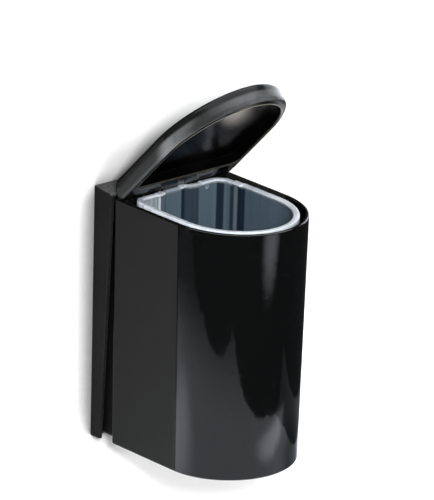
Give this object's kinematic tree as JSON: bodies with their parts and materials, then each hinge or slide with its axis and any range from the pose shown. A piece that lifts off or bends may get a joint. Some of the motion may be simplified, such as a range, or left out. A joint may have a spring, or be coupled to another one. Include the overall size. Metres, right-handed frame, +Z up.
{
  "type": "wall-hung waste bin",
  "caption": "Small D-shaped bin that hangs on a wall bracket, with a rear-hinged lid held open, a lift-out liner bucket and a back panel that hooks over the bracket.",
  "frame": {"origin": "centre of the four wall screws, on the back of the bracket, which is the wall's surface", "axes": "+Y into the wall, +Z up, +X to the right of someone facing the bin"},
  "size_m": [0.105, 0.1495, 0.286],
  "materials": {
    "bracket_plastic": "black, satin moulded",
    "body_plastic": "black, high gloss",
    "panel_plastic": "black, satin moulded",
    "lid_plastic": "black, gloss",
    "inner_plastic": "black, gloss",
    "seal_rubber": "grey silicone",
    "liner_plastic": "frosted, translucent white",
    "screw_steel": "zinc plated",
    "pin_steel": "drawn steel wire",
    "pad_rubber": "matt black"
  },
  "bodies": {
    "bracket": {"wall_bracket": "bracket_plastic"},
    "bin": {"body_shell": "body_plastic", "rear_panel": "panel_plastic", "rear_panel_screws": "screw_steel", "rubber_pad_left": "pad_rubber", "rubber_pad_right": "pad_rubber", "hinge_pin": "pin_steel", "liner_bucket": "liner_plastic"},
    "lid": {"lid_shell": "lid_plastic", "lid_inner_panel": "inner_plastic", "lid_seal": "seal_rubber", "hinge_plug": "lid_plastic"}
  },
  "joints": [
    {"name": "bin_lift", "type": "slide", "parent": "bracket", "child": "bin", "axis": [0, 0, 1], "range_m": [0, 0.0095]},
    {"name": "lid_hinge", "type": "hinge", "parent": "bin", "child": "lid", "pos_m": [0, -0.0275, 0.1], "axis": [-1, 0, 0], "range_deg": [-45, 51]}
  ]
}
